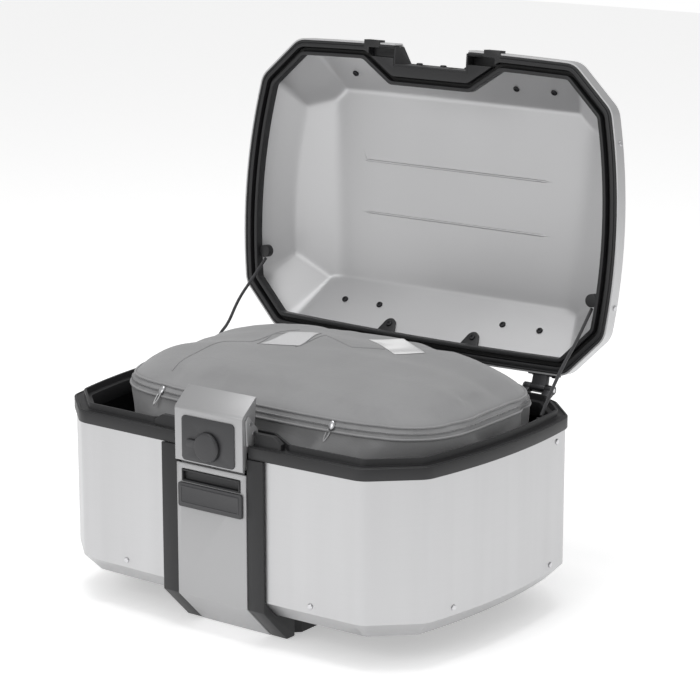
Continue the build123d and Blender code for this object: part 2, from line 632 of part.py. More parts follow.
# ================================ removable soft bag ================================
with BuildPart() as inner_bag:
    for wall, mode in ((0, Mode.ADD), (4, Mode.SUBTRACT)):
        for z, width, depth, y, radius in ((40 + wall, 420, 270, 12, 70), (235, 490, 298, 16, 110),
                                           (264, 482, 288, 16, 106), (302 - wall, 330, 110, 75, 50)):
            with BuildSketch(Plane.XY.offset(z)):
                with Locations((0, y)):
                    RectangleRounded(width - 2 * wall, depth - 2 * wall, radius - wall)
        loft(ruled=True, mode=mode)
        if wall == 0:
            fillet(inner_bag.faces().sort_by(Axis.Z)[-1].edges(), 8)
finish(inner_bag, "inner_bag")

assembly = Compound(children=parts)
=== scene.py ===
"""Looks of the aluminium motorcycle top case: skins, rim, lid, latch, cords and the soft bag."""

import json
from math import atan2, cos, exp, log, pi, radians, sin, tan

import bmesh
import bpy
from mathutils import Matrix, Vector
from mathutils.bvhtree import BVHTree

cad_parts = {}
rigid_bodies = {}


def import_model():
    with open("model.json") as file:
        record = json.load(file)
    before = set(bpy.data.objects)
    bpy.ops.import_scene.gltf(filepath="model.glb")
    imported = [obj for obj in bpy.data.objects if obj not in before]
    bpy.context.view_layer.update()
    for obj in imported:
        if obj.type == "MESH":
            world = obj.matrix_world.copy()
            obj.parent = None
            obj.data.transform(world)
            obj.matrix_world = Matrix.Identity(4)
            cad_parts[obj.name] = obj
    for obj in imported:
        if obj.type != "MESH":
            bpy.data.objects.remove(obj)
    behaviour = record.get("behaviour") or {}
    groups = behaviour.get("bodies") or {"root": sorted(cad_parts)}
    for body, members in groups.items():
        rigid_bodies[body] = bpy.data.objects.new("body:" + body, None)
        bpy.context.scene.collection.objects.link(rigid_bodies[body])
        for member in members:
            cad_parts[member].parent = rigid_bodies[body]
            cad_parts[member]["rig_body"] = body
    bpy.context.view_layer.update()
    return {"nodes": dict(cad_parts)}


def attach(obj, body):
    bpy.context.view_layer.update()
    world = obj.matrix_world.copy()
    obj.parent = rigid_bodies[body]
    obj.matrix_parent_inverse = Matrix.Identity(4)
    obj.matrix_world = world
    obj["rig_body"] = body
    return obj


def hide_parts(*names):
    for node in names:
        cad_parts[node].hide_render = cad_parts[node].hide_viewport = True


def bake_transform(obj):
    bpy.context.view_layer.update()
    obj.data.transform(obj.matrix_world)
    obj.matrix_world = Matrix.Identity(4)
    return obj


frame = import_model()


# ---- Sheet aluminium of the case body ----
# Two wraps of 1.5 mm sheet, satin brushed and clear anodised. The brush runs round the case,
# so it shows as very fine level lines; soft upright streaks of light are painted into the colour as painted
# reflections.
def linear(hex_colour):
    """sRGB hex colour as linear RGBA."""
    parts = [int(hex_colour[i:i + 2], 16) / 255 for i in (1, 3, 5)]
    return [c / 12.92 if c <= 0.04045 else ((c + 0.055) / 1.055) ** 2.4 for c in parts] + [1]


def node(tree, kind, settings=None, **links):
    """Add a node; settings name its properties or inputs, links join its inputs to outputs."""
    made = tree.nodes.new(kind)
    for key, value in (settings or {}).items():
        if isinstance(key, str) and hasattr(made, key):
            setattr(made, key, value)
        else:
            made.inputs[key].default_value = value
    for key, source in links.items():
        socket = made.inputs[int(key[2:])] if key.startswith("in") else made.inputs[key.replace("_", " ")]
        tree.links.new(source, socket)
    return made


def finish_material(name, settings):
    """A material with its shader set up, and its node tree, shader and Object coordinates."""
    made = bpy.data.materials.new(name)
    made.use_nodes = True
    tree = made.node_tree
    shader = tree.nodes["Principled BSDF"]
    for key, value in settings.items():
        shader.inputs[key].default_value = value
    place = node(tree, "ShaderNodeTexCoord").outputs["Object"]
    return made, tree, shader, place


def lay_finish(tree, shader, colours, roughness, factor, relief=None, depth=0.0, strength=1.0, under=None):
    """Vary a finish between two hex colours and two roughnesses, with a relief of a depth in metres."""
    tone = node(tree, "ShaderNodeMix",
                {"data_type": "RGBA", "A": linear(colours[0]), "B": linear(colours[1])}, Factor=factor)
    tree.links.new(tone.outputs["Result"], shader.inputs["Base Color"])
    rough = node(tree, "ShaderNodeMapRange", {"To Min": roughness[0], "To Max": roughness[1]}, Value=factor)
    tree.links.new(rough.outputs["Result"], shader.inputs["Roughness"])
    if relief:
        raised = node(tree, "ShaderNodeBump", {"Distance": depth, "Strength": strength}, Height=relief)
        if under:
            tree.links.new(under.outputs["Normal"], raised.inputs["Normal"])
        tree.links.new(raised.outputs["Normal"], shader.inputs["Normal"])


def add_piece(name, mesh):
    """A new object for a mesh, linked to the scene at the origin."""
    made = bpy.data.objects.new(name, mesh)
    bpy.context.scene.collection.objects.link(made)
    return made


def dress(obj, material):
    """Give a piece its material."""
    obj.data.materials.clear()
    obj.data.materials.append(material)


def soften(obj, angle):
    """Smooth shading with sharp edges past an angle."""
    obj.data.shade_smooth()
    obj.data.set_sharp_from_angle(angle=radians(angle))


EASED_FROM_ANGLE, SHARP_FROM_ANGLE, WELD_GAP = 30, 40, 1e-6


def eased(name, ease, flat=1.0):
    """A copy of a CAD node, joined up within a flatness in degrees, with edges eased, in its place."""
    source = frame["nodes"][name]
    mesh = source.data.copy()
    shape = bmesh.new()
    shape.from_mesh(mesh)
    bmesh.ops.remove_doubles(shape, verts=shape.verts, dist=WELD_GAP)
    if flat:
        bmesh.ops.dissolve_limit(shape, angle_limit=radians(flat), verts=shape.verts, edges=shape.edges)
    shape.to_mesh(mesh)
    shape.free()
    made = add_piece(name + "_eased", mesh)
    if ease:
        bevel = made.modifiers.new("eased edges", "BEVEL")
        bevel.width = ease
        bevel.segments = 2
        bevel.limit_method = "ANGLE"
        bevel.angle_limit = radians(EASED_FROM_ANGLE)
        bevel.use_clamp_overlap = True
        bevel.miter_outer = "MITER_ARC"
        settle(made)
    soften(made, SHARP_FROM_ANGLE)
    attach(made, source["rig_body"])
    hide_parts(name)
    return made


def settle(obj):
    """Turn an object's modifiers into plain mesh."""
    graph = bpy.context.evaluated_depsgraph_get()
    plain = bpy.data.meshes.new_from_object(obj.evaluated_get(graph), depsgraph=graph)
    obj.modifiers.clear()
    obj.data = plain


brushed, tree, shader, place = finish_material("brushed anodised aluminium",
                                               {"Metallic": 0.92, "Anisotropic": 0.35})
brush_map = node(tree, "ShaderNodeMapping", {"Scale": (18, 18, 2600)}, Vector=place)
brush = node(tree, "ShaderNodeTexNoise", {"Scale": 1.0, "Detail": 3.0}, Vector=brush_map.outputs["Vector"])
# painted reflection: soft upright streaks of lighter colour stand in for the sheen of light on the brushed
# sheet
painted_streak_map = node(tree, "ShaderNodeMapping", {"Scale": (30, 30, 1.5)}, Vector=place)
painted_streak = node(tree, "ShaderNodeTexNoise", {"Scale": 1.0, "Detail": 2.0}, Vector=painted_streak_map.outputs["Vector"])
grain_and_painted_streaks = node(tree, "ShaderNodeMath", {"operation": "MULTIPLY_ADD", 1: 0.35}, in0=brush.outputs["Fac"],
            in2=painted_streak.outputs["Fac"])
lay_finish(tree, shader, ("#b6b6b7", "#c6c6c7"), (0.30, 0.42), grain_and_painted_streaks.outputs["Value"],
           relief=brush.outputs["Fac"], depth=0.00002, strength=0.35)
for name in ("skin_left", "skin_right"):
    dress(eased(name, 0.0, flat=0.2), brushed)


# ---- Rim, lid frame and column strips ----
# Glass-filled polypropylene, injection moulded in a spark-eroded tool: near black, with a fine
# even grain that spreads the light into a soft grey sheen.
grained, tree, shader, place = finish_material("moulded black polypropylene", {"IOR": 1.49})
grain = node(tree, "ShaderNodeTexNoise", {"Scale": 2200.0, "Detail": 2.0}, Vector=place)
cloud = node(tree, "ShaderNodeTexNoise", {"Scale": 9.0, "Detail": 3.0}, Vector=place)
lay_finish(tree, shader, ("#1a1a1b", "#242426"), (0.40, 0.54), cloud.outputs["Fac"],
           relief=grain.outputs["Fac"], depth=0.00005, strength=0.5)
for name, ease in (("rim_frame", 0.0006), ("lid_frame", 0.0006), ("column_strip_left", 0.0012),
                   ("column_strip_right", 0.0012), ("rear_seam_cover", 0.0008), ("lid_catch", 0.0004),
                   ("lid_tab_left", 0.0008), ("lid_tab_right", 0.0008), ("cord_boss_lid_left", 0.0008),
                   ("cord_boss_lid_right", 0.0008), ("cord_boss_base_left", 0.0006),
                   ("cord_boss_base_right", 0.0006), ("recess_trim", 0.0004), ("mount_foot", 0.001)):
    # the lid frame keeps its own triangles, because its flat ring would close over if joined
    dress(eased(name, ease, flat=0.0 if name == "lid_frame" else 1.0), grained)


# ---- Tub inside the sheet metal ----
# Vacuum-formed ABS that stands just inside the sheet metal, with a fine even texture. It is
# darker and smoother than the rim.
formed, tree, shader, place = finish_material("vacuum formed black ABS", {"IOR": 1.53})
form = node(tree, "ShaderNodeTexNoise", {"Scale": 350.0, "Detail": 2.0}, Vector=place)
lay_finish(tree, shader, ("#131314", "#1d1d1e"), (0.45, 0.6), form.outputs["Fac"],
           relief=form.outputs["Fac"], depth=0.0001, strength=0.4)
dress(frame["nodes"]["liner_tub"], formed)


# ---- Seal in the lid ----
# Extruded EPDM sponge pressed into the frame's groove, joined end to end. It is a dull,
# slightly dusty black with open pores.
sponge, tree, shader, place = finish_material("EPDM sponge rubber", {"IOR": 1.5})
pores = node(tree, "ShaderNodeTexNoise", {"Scale": 1400.0, "Detail": 2.0}, Vector=place)
lay_finish(tree, shader, ("#121212", "#242424"), (0.75, 0.9), pores.outputs["Fac"],
           relief=pores.outputs["Fac"], depth=0.0001, strength=0.5)
dress(eased("lid_gasket", 0.0008), sponge)


# ---- Silver painted steel and aluminium of the latch and column ----
# Powder coat with fine aluminium flake: an even mid grey with a broad soft highlight.
coated, tree, shader, place = finish_material("silver powder coat", {"Metallic": 0.55, "Coat Weight": 0.08,
                                                                     "Coat Roughness": 0.35})
flake = node(tree, "ShaderNodeTexNoise", {"Scale": 3000.0, "Detail": 1.0}, Vector=place)
lay_finish(tree, shader, ("#a4a4a5", "#b2b2b3"), (0.40, 0.5), flake.outputs["Fac"],
           relief=flake.outputs["Fac"], depth=0.00003, strength=0.4)
for name, ease in (("column_panel", 0.0009), ("latch_cover", 0.0009), ("latch_bracket", 0.0003)):
    dress(eased(name, ease), coated)


# ---- Lock plate, key cover and badge ----
# ABS mouldings in dark grey with a satin grain. The lock plate lies flat on the latch's face
# under the key cover, and the plain badge lies on the panel below.
satin, tree, shader, place = finish_material("satin dark grey ABS", {"IOR": 1.53})
satin_grain = node(tree, "ShaderNodeTexNoise", {"Scale": 1800.0, "Detail": 2.0}, Vector=place)
lay_finish(tree, shader, ("#2e2e30", "#38383a"), (0.38, 0.5), satin_grain.outputs["Fac"],
           relief=satin_grain.outputs["Fac"], depth=0.00004, strength=0.4)
for name, ease in (("lock_plate", 0.0004), ("dust_cover", 0.0006), ("badge_plate", 0.0003)):
    dress(eased(name, ease), satin)


# ---- Bright steel fasteners ----
# Zinc-plated rivets and pins, tumbled, with a soft cool gleam and faint handling marks.
zinc, tree, shader, place = finish_material("zinc plated steel", {"Metallic": 1.0})
marks = node(tree, "ShaderNodeTexNoise", {"Scale": 600.0, "Detail": 3.0}, Vector=place)
lay_finish(tree, shader, ("#b8b8ba", "#dcdcde"), (0.22, 0.38), marks.outputs["Fac"],
           relief=marks.outputs["Fac"], depth=0.00004, strength=0.3)
for name in ("skin_rivets", "lid_rivets", "cheek_studs", "latch_pin", "hinge_pin_left", "hinge_pin_right",
             "lock_cylinder", "lock_cam", "carrier_bolt", "bolt_spring"):
    dress(frame["nodes"][name], zinc)


# ---- Dark hinge leaves and screws ----
# Steel with a black zinc-nickel coat; the lid's inner screws have the same finish.
blackened, tree, shader, place = finish_material("black zinc-nickel steel", {"Metallic": 0.6})
coat_marks = node(tree, "ShaderNodeTexNoise", {"Scale": 500.0, "Detail": 3.0}, Vector=place)
lay_finish(tree, shader, ("#232325", "#3a3a3c"), (0.3, 0.48), coat_marks.outputs["Fac"],
           relief=coat_marks.outputs["Fac"], depth=0.00005, strength=0.3)
for name in ("hinge_leaf_base_left", "hinge_leaf_base_right", "hinge_leaf_lid_left", "hinge_leaf_lid_right"):
    dress(eased(name, 0.0004), blackened)
for name in ("hinge_screws_base", "hinge_screws_lid", "lid_inner_screws", "lid_tab_screws",
             "lid_catch_screws"):
    dress(frame["nodes"][name], blackened)


# ---- Brass inserts in the foot ----
# Turned free-cutting brass, set into the foot and dulled by handling. The cut faces show a
# fine uneven grain of tool marks.
brass, tree, shader, place = finish_material("turned brass", {"Metallic": 1.0})
rings = node(tree, "ShaderNodeTexNoise", {"Scale": 900.0, "Detail": 2.0}, Vector=place)
lay_finish(tree, shader, ("#a88a4a", "#c9aa66"), (0.28, 0.4), rings.outputs["Fac"],
           relief=rings.outputs["Fac"], depth=0.00004, strength=0.3)
dress(frame["nodes"]["carrier_inserts"], brass)


# ---- Lid ----
# One sheet of 2 mm aluminium, deep drawn, so every ridge between its flat facets is a soft
# bend. It is bead blasted inside and out: an even, bright, very fine matt grain.
MM = 0.001
LID_BAND_Z, LID_WALL_Z, LID_EDGE_Z, LID_SHEET, LID_GROW = 256, 320, 239, 2.0, 2.8
LID_BAND_ROWS = (LID_EDGE_Z, 243, 247, 250, 252, 253.5)
RIDGE_SOFTNESS, NO_WALL = 1.1, 900
# the flat top rises from its front edge to its back one, and so does the ridge at each side
TOP_FRONT_Y, TOP_FRONT_Z, TOP_RISE, TOP_LENGTH = -122, 312, 6, 242
RIDGE_FRONT_Y, RIDGE_FRONT_X, RIDGE_SPREAD, RIDGE_LENGTH = -96, 231, 8, 194
SIDE_FOOT_Z, SIDE_RISE, SIDE_TOP_X = 298, 17, 184
CASE_CORNERS = [(206, -186), (260, -136), (271, 134.5), (220.5, 186)]
LID_CORNERS = [(172.5, -115), (215.8, -75), (222.2, 79), (187.7, 120.5)]
HINGE = Vector((0, 208.25, 241.65)) * MM
LID_SWING = Matrix.Translation(HINGE) @ Matrix.Rotation(radians(-95), 4, "X") @ Matrix.Translation(-HINGE)


def rounded_outline(corners, bows, radius, grow):
    """Closed plan outline with the same number of points on each edge and corner."""
    loop = corners + [(-x, y) for x, y in reversed(corners)]
    loop = [Vector(p) for p in loop]
    bulges = [bows[1], bows[2], bows[1], bows[3], bows[1], bows[2], bows[1], bows[0]]
    counts = [14, 46, 14, 60, 14, 46, 14, 60]
    edges = []
    for i, start in enumerate(loop):
        end, bow = loop[(i + 1) % 8], bulges[i]
        along = (end - start).normalized()
        out = Vector((along.y, -along.x))
        lean = 2 * atan2(2 * bow, (end - start).length)
        edges.append((start, end, along, out, bow, lean))
    points = []
    for i, (start, end, along, out, bow, lean) in enumerate(edges):
        before, after = edges[i - 1], edges[(i + 1) % 8]
        span = (end - start).length
        turn_in = before[2].angle(along) - before[5] - lean
        turn_out = along.angle(after[2]) - lean - after[5]
        cut_in, cut_out = radius * tan(turn_in / 2), radius * tan(turn_out / 2)
        for k in range(counts[i] + 1):
            s = cut_in + (span - cut_in - cut_out) * k / counts[i]
            rise = 4 * bow * s * (span - s) / span**2
            slope = 4 * bow * (span - 2 * s) / span**2
            normal = (out - along * slope).normalized()
            points.append(start + along * s + out * rise + normal * grow)
        # the rounded corner to the next edge, as an arc about the middle of its two normals
        slope_end = 4 * bow * (2 * cut_out - span) / span**2
        n1 = (out - along * slope_end).normalized()
        s2 = radius * tan(turn_out / 2)
        span2 = (after[1] - after[0]).length
        slope2 = 4 * after[4] * (span2 - 2 * s2) / span2**2
        n2 = (after[3] - after[2] * slope2).normalized()
        last = points[-1] - n1 * grow
        first = after[0] + after[2] * s2 + after[3] * (4 * after[4] * s2 * (span2 - s2) / span2**2)
        centre = (last - n1 * radius + first - n2 * radius) / 2
        for k in range(1, 8):
            normal = (n1 * (8 - k) + n2 * k).normalized()
            points.append(centre + normal * (radius + grow))
    return points


def lowest_soft(values, softness):
    """Soft minimum, so that the surfaces meet in a rounded ridge."""
    low = min(values)
    return low - softness * log(sum(exp((low - v) / softness) for v in values))


def lid_height(x, y, wall, sheet):
    """Height of the lid's form over a place in plan."""
    top = TOP_FRONT_Z - sheet + (y - TOP_FRONT_Y) * TOP_RISE / TOP_LENGTH
    side_x = RIDGE_FRONT_X - sheet + (y - RIDGE_FRONT_Y) * RIDGE_SPREAD / RIDGE_LENGTH
    side = SIDE_FOOT_Z - sheet / 2 + (side_x - abs(x)) * (SIDE_RISE / (side_x - SIDE_TOP_X))
    return lowest_soft((wall, top, side), RIDGE_SOFTNESS)


def lid_surface(sheet):
    """Rings of points of the lid's outer or inner surface, from its edge to its middle."""
    low = rounded_outline(CASE_CORNERS, (3.5, 0, 13, 3.5), 26, LID_GROW - sheet)
    high = rounded_outline(LID_CORNERS, (0, 0, 0, 0), 6, -1.45 * sheet)
    band = LID_BAND_Z - 0.4 * sheet
    rows = []
    for z in LID_BAND_ROWS:
        rows.append([Vector((p.x, p.y, z)) for p in low])
    steps = [0.0, 0.012, 0.03, 0.055, 0.085] + [0.12 + 0.028 * k for k in range(32)]
    for u in steps:
        ring = []
        for a, b in zip(low, high):
            wall = band + (LID_WALL_Z - band) * u
            rim = a + (b - a) * u
            z = lid_height(rim.x, rim.y, wall, sheet)
            ring.append(Vector((rim.x, rim.y, z)))
        rows.append(ring)
    inner = rows[-1]
    for k in range(1, 31):
        t = 1 - k / 31
        ring = []
        for p in inner:
            x, y = p.x * t, p.y * t
            ring.append(Vector((x, y, lid_height(x, y, NO_WALL, sheet))))
        rows.append(ring)
    return rows


def skin_mesh(name, outer, inner):
    """A closed sheet between an outer and an inner surface, joined round its edge."""
    shape = bmesh.new()
    shells = []
    for rows in (outer, inner):
        grid = [[shape.verts.new(p * MM) for p in row] for row in rows]
        middle = sum((p for p in rows[-1]), Vector()) / len(rows[-1])
        middle.z = lid_height(0, 0, NO_WALL, LID_SHEET if rows is inner else 0)
        hub = shape.verts.new(middle * MM)
        shells.append((grid, hub))
    for flip, (grid, hub) in enumerate(shells):
        n = len(grid[0])
        for a, b in zip(grid, grid[1:]):
            for i in range(n):
                quad = [a[i], a[(i + 1) % n], b[(i + 1) % n], b[i]]
                shape.faces.new(quad[::-1] if flip else quad)
        for i in range(n):
            tri = [grid[-1][i], grid[-1][(i + 1) % n], hub]
            shape.faces.new(tri[::-1] if flip else tri)
    a, b = shells[0][0][0], shells[1][0][0]
    for i in range(len(a)):
        shape.faces.new([a[(i + 1) % len(a)], a[i], b[i], b[(i + 1) % len(a)]])
    mesh = bpy.data.meshes.new(name)
    shape.to_mesh(mesh)
    shape.free()
    return add_piece(name, mesh)


def cut_box(obj, x, y, z):
    """Cut a box, in millimetres, out of a piece."""
    bpy.ops.mesh.primitive_cube_add(size=1)
    cutter = bpy.context.object
    low, high = Vector((x[0], y[0], z[0])) * MM, Vector((x[1], y[1], z[1])) * MM
    cutter.data.transform(Matrix.Translation((low + high) / 2) @ Matrix.Diagonal((*(high - low), 1)))
    cut = obj.modifiers.new("cut", "BOOLEAN")
    cut.operation = "DIFFERENCE"
    cut.object = cutter
    settle(obj)
    bpy.data.objects.remove(cutter)


lid_skin = skin_mesh("lid_skin", lid_surface(0), lid_surface(LID_SHEET))
# the notch for the latch, and a slot on each side of it for the frame's tabs
cut_box(lid_skin, (-55.4, 55.4), (-250, -164.6), (200, 340))
for side in (-1, 1):
    cut_box(lid_skin, sorted((side * 77.6, side * 102.4)), (-240, -170), (220, 250.3))
lid_skin.data.transform(LID_SWING)
soften(lid_skin, SHARP_FROM_ANGLE)
blasted, tree, shader, place = finish_material("bead blasted aluminium", {"Metallic": 0.9})
beads = node(tree, "ShaderNodeTexNoise", {"Scale": 1100.0, "Detail": 3.0}, Vector=place)
drawn = node(tree, "ShaderNodeTexNoise", {"Scale": 5.0, "Detail": 2.0}, Vector=place)
lay_finish(tree, shader, ("#c4c4c5", "#d2d2d3"), (0.42, 0.5), drawn.outputs["Fac"],
           relief=beads.outputs["Fac"], depth=0.00006, strength=0.55)
dress(lid_skin, blasted)
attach(lid_skin, "lid")
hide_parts("lid_shell")


# ---- Pressed lines in the lid's top ----
# Two long narrow beads that stiffen the flat top; inside the lid they stand up as ridges.
BEAD_RADIUS, BEAD_PROUD, BEAD_STEP, BEAD_TIP = 1.6, 0.35, 4, 0.35


def curve_piece(name, curve):
    """A curve as a plain mesh piece of the same name."""
    holder = bpy.data.objects.new(name, curve)
    bpy.context.scene.collection.objects.link(holder)
    mesh = bpy.data.meshes.new_from_object(holder.evaluated_get(bpy.context.evaluated_depsgraph_get()))
    bpy.data.objects.remove(holder)
    return add_piece(name, mesh)


lid_inner_top = [((-147, -49), (-142, -35), (142, -35)), ((-145, 32.4), (142, 32.4))]
for index, line in enumerate(lid_inner_top):
    curve = bpy.data.curves.new(f"pressed_line_{index + 1}", "CURVE")
    curve.dimensions = "3D"
    curve.bevel_depth = BEAD_RADIUS * MM
    curve.bevel_resolution = 3
    curve.use_fill_caps = True
    spline = curve.splines.new("POLY")
    steps = []
    for a, b in zip(line, line[1:]):
        count = int((Vector(b) - Vector(a)).length / BEAD_STEP)
        steps += [Vector(a) + (Vector(b) - Vector(a)) * k / count for k in range(count)]
    steps.append(Vector(line[-1]))
    spline.points.add(len(steps) - 1)
    for k, (point, step) in enumerate(zip(spline.points, steps)):
        z = lid_height(step.x, step.y, NO_WALL, LID_SHEET) + BEAD_PROUD
        point.co = (*(LID_SWING @ (Vector((step.x, step.y, z)) * MM)), 1)
        point.radius = max(BEAD_TIP, min(1, k / 3, (len(steps) - 1 - k) / 3))
    bead = curve_piece(f"pressed_line_{index + 1}", curve)
    dress(bead, blasted)
    soften(bead, 60)
    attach(bead, "lid")


# ---- Limit cords ----
# Braided polyester over a rubber core, 4 mm thick and dark grey; the braid shows as a fine
# slanting twill along the cord.
braid, tree, shader, place = finish_material("braided polyester cord", {"IOR": 1.5, "Sheen Weight": 0.3,
                                                                        "Sheen Roughness": 0.5})
twill = node(tree, "ShaderNodeTexWave", {"Scale": 330.0, "Distortion": 1.5, "bands_direction": "DIAGONAL"},
             Vector=place)
lay_finish(tree, shader, ("#1d1d1f", "#3d3d40"), (0.6, 0.75), twill.outputs["Fac"],
           relief=twill.outputs["Fac"], depth=0.0002, strength=0.6)
CORD_RADIUS = 2
cord_routes = {
    "left": [(-249, 222.5, 346.9), (-250, 192, 322), (-251.5, 167, 301), (-252.5, 147, 272),
             (-252.5, 128, 262), (-251.5, 110.5, 239)],
    "right": [(249, 222.5, 346.9), (249.5, 190, 314), (250, 158, 290), (250.5, 128, 260), (251, 110.5, 239)],
}
for word, route in cord_routes.items():
    curve = bpy.data.curves.new(f"limit_cord_{word}_braid", "CURVE")
    curve.dimensions = "3D"
    curve.bevel_depth = CORD_RADIUS * MM
    curve.bevel_resolution = 4
    curve.use_fill_caps = True
    spline = curve.splines.new("NURBS")
    spline.points.add(len(route) - 1)
    for point, where in zip(spline.points, route):
        point.co = (*(Vector(where) * MM), 1)
    spline.order_u = 3
    spline.use_endpoint_u = True
    spline.resolution_u = 10
    cord = curve_piece(f"limit_cord_{word}_braid", curve)
    cord.data.shade_smooth()
    dress(cord, braid)
    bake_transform(cord)
    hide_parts(f"limit_cord_{word}")


# ---- Inner bag ----
# A lined bag of coated polyester with a thin foam pad, standing full in the case. Its wall
# stands up to a zip, and the zipped top is a low dome, highest behind its middle.
# each ring of the bag: its height, and its share of the full width and depth
BAG_RINGS = [(42, 0.86, 0.90), (46, 0.875, 0.92), (80, 0.90, 0.94), (130, 0.94, 0.965),
             (180, 0.965, 0.985), (220, 0.985, 0.995), (240, 0.995, 1.0), (252, 0.995, 1.0),
             (261, 0.982, 0.98), (268.5, 0.95, 0.94), (275.5, 0.89, 0.87), (282, 0.80, 0.78),
             (288, 0.69, 0.67), (293.5, 0.56, 0.54), (297.5, 0.41, 0.40), (300, 0.24, 0.24),
             (300.6, 0.1, 0.1)]
BAG_HALF, BAG_DEPTH_HALF, BAG_Y, BAG_CREST_Y, BAG_TOP_EDGE, CREST_HEIGHT = 246, 149, 16, 98, 262, 24
BAG_SQUARENESS, BAG_MESH, BAG_LEAN = 3.8, 6, 8
DOME_FOLD, WALL_FOLD, FOLDS_FROM_Z = 1.3, 0.6, 60
CLOTH_STEPS, CLOTH_REACH = 16, 6


def bag_ring(width, depth, z=0, count=120):
    """Rounded-rectangle ring of the bag in plan, moved towards the crest above the zip."""
    a, b, n = BAG_HALF * width, BAG_DEPTH_HALF * depth, BAG_SQUARENESS
    rise = max(0, min(1, (z - BAG_TOP_EDGE) / CREST_HEIGHT))
    centre = BAG_Y + (BAG_CREST_Y - BAG_Y) * (1 - depth) * rise
    ring = []
    for k in range(count):
        t = 2 * pi * k / count
        c, s = cos(t), sin(t)
        ring.append((a * abs(c) ** (2 / n) * (1 if c > 0 else -1),
                     centre + b * abs(s) ** (2 / n) * (1 if s > 0 else -1)))
    return ring


shape = bmesh.new()
grid = [[shape.verts.new(Vector((x, y, z)) * MM) for x, y in bag_ring(w, d, z)] for z, w, d in BAG_RINGS]
for low, high in zip(grid, grid[1:]):
    for i in range(len(low)):
        j = (i + 1) % len(low)
        shape.faces.new((low[i], low[j], high[j], high[i]))
shape.faces.new(grid[0][::-1])
shape.faces.new(grid[-1])
mesh = bpy.data.meshes.new("bag_body")
shape.to_mesh(mesh)
shape.free()
bag = add_piece("bag_body", mesh)
remesh = bag.modifiers.new("even", "REMESH")
remesh.mode = "VOXEL"
remesh.voxel_size = BAG_MESH * MM
settle(bag)
# long shallow folds run across the dome and down the wall, and the bag leans a little to the
# right above its middle
for vertex in bag.data.vertices:
    x, y, z = vertex.co / MM
    vertex.co.x += BAG_LEAN * MM * max(0, min(1, (z - 120) / 100))
    fold = sin(0.052 * y + 0.011 * x + 1.1 * sin(0.013 * x)) + 0.6 * sin(0.11 * y - 0.017 * x + 2)
    if z > FOLDS_FROM_Z:
        vertex.co.z += fold * (DOME_FOLD if z > 255 else WALL_FOLD) * MM
# the filled bag swells by a few millimetres between its edges
start_places = [v.co.copy() for v in bag.data.vertices]
cloth = bag.modifiers.new("cloth", "CLOTH")
cloth.settings.use_pressure = True
cloth.settings.uniform_pressure_force = 4
cloth.settings.effector_weights.gravity = 0
cloth.settings.quality = 5
cloth.settings.tension_stiffness = 25
cloth.settings.bending_stiffness = 0.6
cloth.point_cache.frame_end = CLOTH_STEPS
for step in range(1, CLOTH_STEPS + 1):
    bpy.context.scene.frame_set(step)
settle(bag)
bpy.context.scene.frame_set(1)
for vertex, start in zip(bag.data.vertices, start_places):
    move = vertex.co - start
    if move.length > CLOTH_REACH * MM:
        vertex.co = start + move * (CLOTH_REACH * MM / move.length)
# the side is pushed in where the cord's boss on the shut lid reaches it
for vertex in bag.data.vertices:
    x, y, z = vertex.co / MM
    if 74 < y < 110 and 222 < z < 262:
        reach = 238.5 + max(0, abs(y - 92) - 10) * 1.2 + max(0, abs(z - 243) - 13) * 1.2
        vertex.co.x = max(-reach, min(reach, x)) * MM
smooth = bag.modifiers.new("settle", "SMOOTH")
smooth.factor = 0.5
smooth.iterations = 2
divide = bag.modifiers.new("finer", "SUBSURF")
divide.levels = divide.render_levels = 1
settle(bag)
bag.data.shade_smooth()

woven, tree, shader, place = finish_material("coated woven polyester", {"IOR": 1.5, "Sheen Weight": 0.35,
                                                                        "Sheen Roughness": 0.45})
# a 0.9 mm basket weave stands for the real 0.4 mm one, which is too fine to show
weft, warp, rise = [node(tree, "ShaderNodeTexWave",
                         {"Scale": 350.0, "Distortion": 0.6, "bands_direction": axis}, Vector=place)
                    for axis in "XYZ"]
crossed = node(tree, "ShaderNodeMath", {"operation": "MULTIPLY"}, in0=weft.outputs["Fac"],
               in1=warp.outputs["Fac"])
weave = node(tree, "ShaderNodeMath", {"operation": "ADD"}, in0=crossed.outputs["Value"],
             in1=rise.outputs["Fac"])
shade = node(tree, "ShaderNodeTexNoise", {"Scale": 14.0, "Detail": 4.0}, Vector=place)
crease_map = node(tree, "ShaderNodeMapping", {"Scale": (7, 26, 26), "Rotation": (0, 0, radians(14))},
                  Vector=place)
crease = node(tree, "ShaderNodeTexNoise", {"Scale": 1.0, "Detail": 5.0, "Roughness": 0.6, "Distortion": 0.4},
              Vector=crease_map.outputs["Vector"])
creased = node(tree, "ShaderNodeBump", {"Distance": 0.0022, "Strength": 0.5}, Height=crease.outputs["Fac"])
lay_finish(tree, shader, ("#868687", "#959596"), (0.62, 0.74), shade.outputs["Fac"],
           relief=weave.outputs["Value"], depth=0.00012, strength=0.4, under=creased)
dress(bag, woven)
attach(bag, "base")
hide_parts("inner_bag")


# ---- Piping and zip round the bag's upper edge ----
# Two rows of piping in the bag's own cloth with the closed coil zip between them.
bag_tree = BVHTree.FromPolygons([v.co for v in bag.data.vertices], [p.vertices[:] for p in bag.data.polygons])


def on_bag(x, y, z, lift):
    """Place on the bag's surface seen from its middle axis outwards, and the normal there."""
    towards = Vector((0.35 * x, BAG_Y + 0.35 * (y - BAG_Y), z)) * MM - Vector((x, y, z)) * MM
    far = Vector((x, y, z)) * MM - towards.normalized() * 0.08
    hit, normal, _, _ = bag_tree.ray_cast(far, towards.normalized())
    return hit + normal * lift * MM, normal


def over_bag(x, y, lift):
    """Place on top of the bag, and the normal there."""
    hit, normal, _, _ = bag_tree.ray_cast(Vector((x, y, 400)) * MM, Vector((0, 0, -1)))
    return hit + normal * lift * MM, normal


